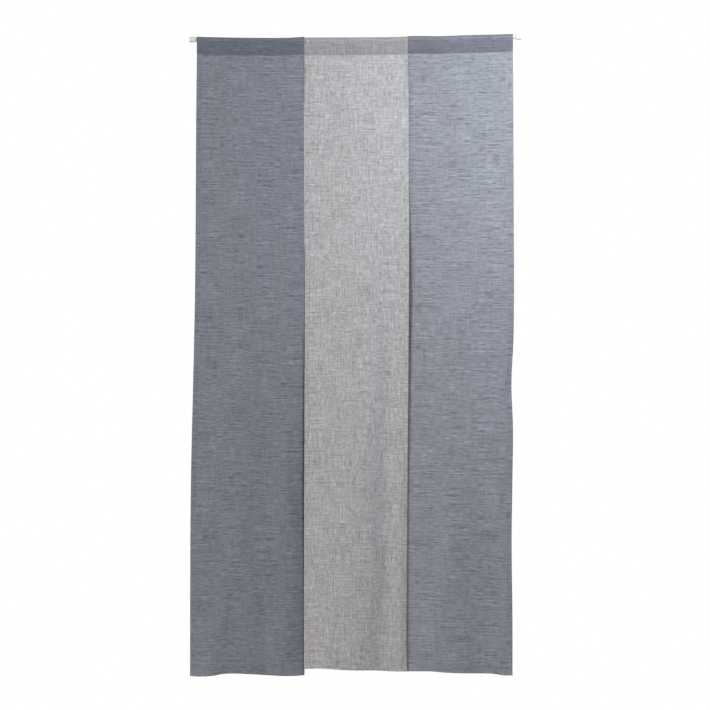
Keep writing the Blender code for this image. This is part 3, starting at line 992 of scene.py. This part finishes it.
# %% A wire from one node to the next
class Wire:
    """One output in a material's node tree. Python's operators on it add Math nodes."""

    def __init__(self, tree, output=None):
        self.tree = tree
        self.output = output

    def node(self, kind, settings=None, inputs=None, output=0):
        """Add a node: first its settings, such as an operation or a ramp's stops, then its sockets."""
        made = self.tree.nodes.new(kind)
        for name, value in (settings or {}).items():
            if name == "stops":
                for stop, (position, tone) in zip(made.color_ramp.elements, value):
                    stop.position = position
                    stop.color = (tone, tone, tone, 1.0)
            else:
                setattr(made, name, value)
        for socket, value in (inputs or {}).items():
            if isinstance(value, Wire):
                self.tree.links.new(value.output, made.inputs[socket])
            else:
                made.inputs[socket].default_value = value
        return Wire(self.tree, made.outputs[output] if made.outputs else None)

    def maths(self, operation, first, second):
        """Add one Math node."""
        return self.node("ShaderNodeMath", {"operation": operation}, {0: first, 1: second})

    def __add__(self, other):
        return self.maths("ADD", self, other)

    def __radd__(self, other):
        return self.maths("ADD", other, self)

    def __sub__(self, other):
        return self.maths("SUBTRACT", self, other)

    def __rsub__(self, other):
        return self.maths("SUBTRACT", other, self)

    def __mul__(self, other):
        return self.maths("MULTIPLY", self, other)

    def __rmul__(self, other):
        return self.maths("MULTIPLY", other, self)

    def surface(self, shader):
        """Make a shader the surface of the finish."""
        self.node("ShaderNodeOutputMaterial", None, {"Surface": shader})

    def principled(self, inputs):
        """Add a Principled shader."""
        return self.node("ShaderNodeBsdfPrincipled", None, inputs)

    def bump(self, strength, distance, height):
        """Raise a surface by a height that isn't modelled."""
        inputs = {"Strength": strength, "Distance": distance, "Height": height}
        return self.node("ShaderNodeBump", None, inputs)

    def tint(self, factor, low, high):
        """Mix two colours by a factor."""
        return self.node("ShaderNodeMix", {"data_type": "RGBA"}, {0: factor, 6: low, 7: high}, 2)

    def noise(self, place, scale, detail, roughness, seed):
        """Soft noise, about 0.5 on average, stretched by a scale for each direction."""
        moved = {"Vector": place, "Location": (seed, 1.7 * seed, 0.0), "Scale": scale}
        spot = self.node("ShaderNodeMapping", None, moved)
        inputs = {"Vector": spot, "Scale": 1.0, "Detail": detail, "Roughness": roughness}
        return self.node("ShaderNodeTexNoise", None, inputs)


print("a wire adds, subtracts and multiplies, with numbers on either side")

# %% Start of a finish
def start_finish(name):
    """Make an empty material and return it with a wire that can add its first node."""
    material = bpy.data.materials.new(name)
    material.use_nodes = True
    material.node_tree.nodes.clear()
    return material, Wire(material.node_tree)


print("finishes so far:", len(bpy.data.materials))

# %% [markdown]
# ## The cloth's finish
#
# The cloth is a plain weave of uneven yarns, loose enough to let some light through. Thick places in
# a yarn show as short streaks: mostly across the strip on the blue-grey cloth, both ways on the pale
# one. The streaks are noise stretched along the yarns and read from the `weave` map, so they turn
# round the hems with the cloth. A yarn is given by its darkest and lightest tones, the tone of light
# that comes through, how strong its slubs are each way, how long they are, and a deep tone that is a
# painted shade: it darkens each colour of the pocket's doubled cloth for the shade the heading gets
# from the light. A Principled shader gives what the cloth reflects and a Translucent shader what it
# lets through.

# %% Yarns
# Each yarn's deep tone is a painted shade: it multiplies the colour of the pocket's doubled cloth,
# standing in for the shade that the light leaves on the heading.
Yarn = namedtuple("Yarn", "dark light through weft warp length deep")
BLUE_YARN = Yarn(
    dark=(0.163, 0.17, 0.197),
    light=(0.422, 0.44, 0.51),
    through=(0.29, 0.3, 0.345),
    weft=2.3,
    warp=0.78,
    length=1.0,
    deep=(0.54, 0.56, 0.6),
)
# Painted light: the right strip's yarn is the blue-grey yarn made about a quarter lighter in every tone,
# standing in for the stronger light on the right of the curtain.
BLUE_YARN_PAINTED_LIGHTER = Yarn(
    dark=(0.204, 0.211, 0.238),
    light=(0.53, 0.548, 0.618),
    through=(0.38, 0.39, 0.43),
    weft=2.4,
    warp=0.7,
    length=1.15,
    deep=(0.5, 0.5, 0.53),
)
PALE_YARN = Yarn(
    dark=(0.356, 0.35, 0.357),
    light=(0.784, 0.77, 0.784),
    through=(0.525, 0.517, 0.522),
    weft=2.0,
    warp=2.05,
    length=0.85,
    deep=(0.635, 0.615, 0.63),
)
print("the pale cloth's slubs across and along:", PALE_YARN.weft, PALE_YARN.warp)

# %% Slubs and weave
YARN_PITCH = 0.85
STREAKS = [(13.0, 320.0, 0.5), (60.0, 255.0, 0.5)]


def streaks(start, place, turned, length, seed):
    """Slubs of one set of yarns, about 0 on average: long along the yarn and a few yarns wide."""
    total = None
    for index, (long_scale, short_scale, share) in enumerate(STREAKS):
        flat = long_scale / length
        scale = (short_scale, flat, 1.0) if turned else (flat, short_scale, 1.0)
        layer = (start.noise(place, scale, 1.0, 0.5, seed + 3.1 * index) - 0.5) * share
        total = layer if total is None else total + layer
    return total


def weave_relief(start, place):
    """Ups and downs of single yarns in a plain weave."""
    turns = math.pi / (YARN_PITCH * MM)
    across = start.node("ShaderNodeSeparateXYZ", None, {0: place}) * turns
    along_cut = start.node("ShaderNodeSeparateXYZ", None, {0: place}, 1) * turns
    return start.maths("SINE", across, 0.0) * start.maths("SINE", along_cut, 0.0)


print("layers of streaks:", len(STREAKS))

# %% Cloth
CLOUDS = 0.13
SWING = 3.0
CALMER_DOUBLED = 0.35
SHEER = 0.24
SHEER_SLUBS = 0.04
LESS_SHEER_DOUBLED = 0.7


def cloth_finish(name, yarn, seed):
    """Semi-sheer plain weave with slubs, read from the flat cut."""
    material, start = start_finish(name)
    place = start.node("ShaderNodeUVMap", {"uv_map": "weave"})
    weft = streaks(start, place, False, yarn.length, seed + 2.0)
    warp = streaks(start, place, True, yarn.length, seed + 7.0)
    cloudy = start.noise(place, (9.0, 7.0, 1.0), 3.0, 0.55, seed + 11.0) - 0.5
    swing = (start.noise(place, (28.0, 34.0, 1.0), 2.0, 0.5, seed + 17.0) - 0.5) * SWING
    doubled = start.node("ShaderNodeAttribute", {"attribute_name": "doubled"}, None, "Fac")
    slubs = weft * (1.0 + swing) * yarn.weft + warp * (1.0 - swing) * yarn.warp
    slubs = slubs * (1.0 - doubled * CALMER_DOUBLED)
    tone = 0.5 + slubs + cloudy * CLOUDS
    single = start.tint(tone, (*yarn.dark, 1.0), (*yarn.light, 1.0))
    # Painted shade: the pocket's doubled cloth is darkened in its base colour by the yarn's deep tone.
    shade = start.tint(doubled, (1.0, 1.0, 1.0, 1.0), (*yarn.deep, 1.0))
    colour = start.node("ShaderNodeVectorMath", {"operation": "MULTIPLY"}, {0: single, 1: shade})
    relief = weave_relief(start, place) * 0.5 + slubs * 0.5
    reflected = start.principled(
        {
            "Base Color": colour,
            "Roughness": 0.92 - tone * 0.12,
            "Specular IOR Level": 0.22,
            "Sheen Weight": 0.12,
            "Sheen Roughness": 0.5,
            "Normal": start.bump(0.5, 0.00012, relief),
        },
    )
    passed = start.node("ShaderNodeBsdfTranslucent", None, {"Color": (*yarn.through, 1.0)})
    share = (SHEER + slubs * SHEER_SLUBS) * (1.0 - doubled * LESS_SHEER_DOUBLED)
    mixed = start.node("ShaderNodeMixShader", None, {0: share, 1: reflected, 2: passed})
    start.surface(mixed)
    return material


blue_cloth = cloth_finish("blue_grey_cloth", BLUE_YARN, 0.0)
# The right strip's finish is the blue-grey cloth painted lighter, for the stronger light on the right.
blue_cloth_painted_lighter = cloth_finish("blue_grey_cloth_painted_lighter", BLUE_YARN_PAINTED_LIGHTER, 40.0)
pale_cloth = cloth_finish("pale_grey_cloth", PALE_YARN, 80.0)
print("cloth finishes:", blue_cloth.name, blue_cloth_painted_lighter.name, pale_cloth.name)

# %% [markdown]
# ## Thread, rod and cap finishes
#
# Thread is twisted, so its bump runs slantwise. The rod has a satin sprayed coat with the faint grain
# of such a coat. The caps are soft white plastic, duller, with dust in the grain.

# %% Thread
def thread_finish(name, dark, light):
    """Spun thread: fine slanting ridges and small changes of tone."""
    material, start = start_finish(name)
    place = start.node("ShaderNodeTexCoord", None, None, 3)
    tone = start.noise(place, (900.0, 900.0, 900.0), 2.0, 0.6, 1.0)
    colour = start.tint(tone, (*dark, 1.0), (*light, 1.0))
    ridges = start.node(
        "ShaderNodeTexWave",
        {"bands_direction": "DIAGONAL"},
        {"Vector": place, "Scale": 1400.0, "Distortion": 1.0},
        1,
    )
    bump = start.bump(0.4, 0.00005, ridges)
    shine = start.principled(
        {"Base Color": colour, "Roughness": 0.75 - tone * 0.2, "Specular IOR Level": 0.35, "Normal": bump},
    )
    start.surface(shine)
    return material


blue_thread = thread_finish("blue_grey_thread", (0.13, 0.137, 0.16), (0.23, 0.24, 0.28))
pale_thread = thread_finish("pale_grey_thread", (0.3, 0.3, 0.305), (0.48, 0.48, 0.49))
print("thread finishes:", blue_thread.name, pale_thread.name)

# %% Painted tube and soft plastic
def coat_finish(name, base, worn, grain, roughness, spread, relief):
    """A sprayed or moulded white surface with fine grain and slightly uneven tone."""
    material, start = start_finish(name)
    place = start.node("ShaderNodeTexCoord", None, None, 3)
    cloudy = start.noise(place, (45.0, 60.0, 60.0), 3.0, 0.6, 4.0)
    fine = start.noise(place, (grain, grain, grain), 2.0, 0.5, 9.0)
    marks = start.node(
        "ShaderNodeValToRGB",
        {"stops": [(0.56, 0.0), (0.74, 1.0)]},
        {0: start.noise(place, (160.0, 420.0, 420.0), 4.0, 0.65, 13.0)},
    )
    colour = start.tint(cloudy * 0.35 + marks * 0.3, (*base, 1.0), (*worn, 1.0))
    shine = start.principled(
        {
            "Base Color": colour,
            "Roughness": roughness + (cloudy - 0.5) * spread + marks * 0.12,
            "Specular IOR Level": 0.5,
            "Normal": start.bump(0.35, relief, fine),
        },
    )
    start.surface(shine)
    return material


rod_coat = coat_finish("white_rod", (0.88, 0.88, 0.87), (0.77, 0.77, 0.75), 1500.0, 0.36, 0.14, 0.00002)
cap_rubber = coat_finish("white_cap", (0.89, 0.89, 0.88), (0.78, 0.78, 0.76), 2600.0, 0.62, 0.1, 0.00005)
print("hard finishes:", rod_coat.name, cap_rubber.name)

# %% [markdown]
# ## Joining pieces to the frame
#
# Every piece rides on the one body, stands for its solid and gets its finish. Each strip's
# stitches go with it.

# %% Ride, replace and give finishes
CLOTH_FINISHES = {"left": blue_cloth, "centre": pale_cloth, "right": blue_cloth_painted_lighter}
THREAD_FINISHES = {"left": blue_thread, "centre": pale_thread, "right": blue_thread}

rod.data.materials.append(rod_coat)
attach(rod, "root")
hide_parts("rod")
for cap, node in zip(caps, ("cap_left", "cap_right")):
    cap.data.materials.append(cap_rubber)
    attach(cap, "root")
    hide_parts(node)
for name, cloth in cloths.items():
    cloth.data.materials.append(CLOTH_FINISHES[name])
    threads[name].data.materials.append(THREAD_FINISHES[name])
    for piece in (cloth, threads[name]):
        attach(piece, "root")
    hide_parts("panel_" + name)
print("pieces:", len(cloths) + len(threads) + len(caps) + 1)

# %% [markdown]
# ## Studio
#
# The curtain hangs in front of white, with a pale floor below. Two broad cool lamps at the front
# right carry most of the light, and a far lamp and a low one on the left fill it with a warmer tone.
# Two lamps behind the curtain light its back, and a little of that shows through single cloth. The
# camera doesn't see a lamp itself, so the background stays plain white from every side.

# %% Floor
FLOOR_HEIGHT = -2.0
FLOOR_CENTRE = -0.25
FLOOR_SIZE = 1.25


def make_floor():
    """Make a plain pale floor under the curtain."""
    shape = bmesh.new()
    place = Matrix.Translation((ROD_SPAN / 2.0 * MM, FLOOR_CENTRE, FLOOR_HEIGHT))
    bmesh.ops.create_grid(shape, x_segments=4, y_segments=4, size=FLOOR_SIZE, matrix=place)
    floor = add_piece("floor", shape)
    material, start = start_finish("pale floor")
    place = start.node("ShaderNodeTexCoord", None, None, 3)
    tone = start.noise(place, (3.0, 3.0, 3.0), 3.0, 0.5, 5.0)
    colour = start.tint(tone, (0.78, 0.78, 0.77, 1.0), (0.84, 0.84, 0.83, 1.0))
    matt = start.principled({"Base Color": colour, "Roughness": 0.8})
    start.surface(matt)
    floor.data.materials.append(material)
    return floor


floor = make_floor()
print("floor at", FLOOR_HEIGHT, "m")

# %% Lamps
Lamp = namedtuple("Lamp", "name place aim width height power tint")
COOL = (0.945, 1.0, 1.06)
WARM = (1.045, 1.0, 0.94)
LAMPS = [
    Lamp("front right", (1.6, -1.5, 0.7), (0.6, 0.0, -0.7), 0.9, 0.9, 16.5, COOL),
    Lamp("near front right", (1.45, -0.95, 0.05), (0.6, 0.0, -0.5), 0.6, 0.6, 13.2, COOL),
    Lamp("far left", (-3.0, -1.7, 0.1), (0.45, 0.0, -0.9), 1.2, 1.2, 83.0, WARM),
    Lamp("low left", (-0.8, -1.9, -1.3), (0.35, 0.0, -1.3), 1.2, 1.0, 5.0, WARM),
    Lamp("back top", (0.45, 1.0, 0.8), (0.45, 0.0, -0.6), 0.9, 0.6, 12.0, COOL),
    Lamp("behind", (0.75, 1.7, -0.5), (0.45, 0.0, -1.0), 1.2, 1.2, 16.0, WARM),
]


def hang_lamp(lamp):
    """Hang one soft rectangular lamp and aim it."""
    light = bpy.data.lights.new(lamp.name, "AREA")
    light.shape = "RECTANGLE"
    light.size = lamp.width
    light.size_y = lamp.height
    light.energy = lamp.power
    light.color = lamp.tint
    holder = add_object(lamp.name, light)
    holder.location = lamp.place
    holder.visible_camera = False
    holder.rotation_euler = (Vector(lamp.aim) - Vector(lamp.place)).to_track_quat("-Z", "Y").to_euler()


for lamp in LAMPS:
    hang_lamp(lamp)
print("lamps:", [lamp.name for lamp in LAMPS])

# %% White surroundings
FILL = 0.05


def light_surroundings():
    """Show plain white behind the curtain, and light it from all sides more weakly."""
    world = bpy.data.worlds.new("studio")
    bpy.context.scene.world = world
    world.use_nodes = True
    world.node_tree.nodes.clear()
    start = Wire(world.node_tree)
    seen = start.node("ShaderNodeLightPath", None, None, "Is Camera Ray")
    white = start.node("ShaderNodeBackground", None, {"Color": (1.0, 1.0, 1.0, 1.0), "Strength": 1.0})
    soft = start.node("ShaderNodeBackground", None, {"Color": (0.97, 0.98, 1.0, 1.0), "Strength": FILL})
    both = start.node("ShaderNodeMixShader", None, {0: seen, 1: soft, 2: white})
    start.node("ShaderNodeOutputWorld", None, {"Surface": both})


light_surroundings()
bpy.context.scene.view_settings.view_transform = "Standard"
print("surroundings light the curtain with", FILL, "of white")

# %% [markdown]
# ## Camera
#
# The curtain is seen straight on, from far enough for its edges to stay parallel. The lens and the
# distance are chosen together so that the square picture is 1.91 metres high at the cloth.

# %% Camera
LENS = 120.0
SENSOR = 36.0
VIEW_HEIGHT = 1.91
VIEW_CENTRE = (0.4452, -0.8487)

view = bpy.data.cameras.new("camera")
view.lens = LENS
view.sensor_width = SENSOR
camera = add_object("camera", view)
camera.location = (VIEW_CENTRE[0], -VIEW_HEIGHT * LENS / SENSOR, VIEW_CENTRE[1])
camera.rotation_euler = (math.pi / 2.0, 0.0, 0.0)
bpy.context.scene.camera = camera
print("camera stands", round(-camera.location.y, 2), "m away")
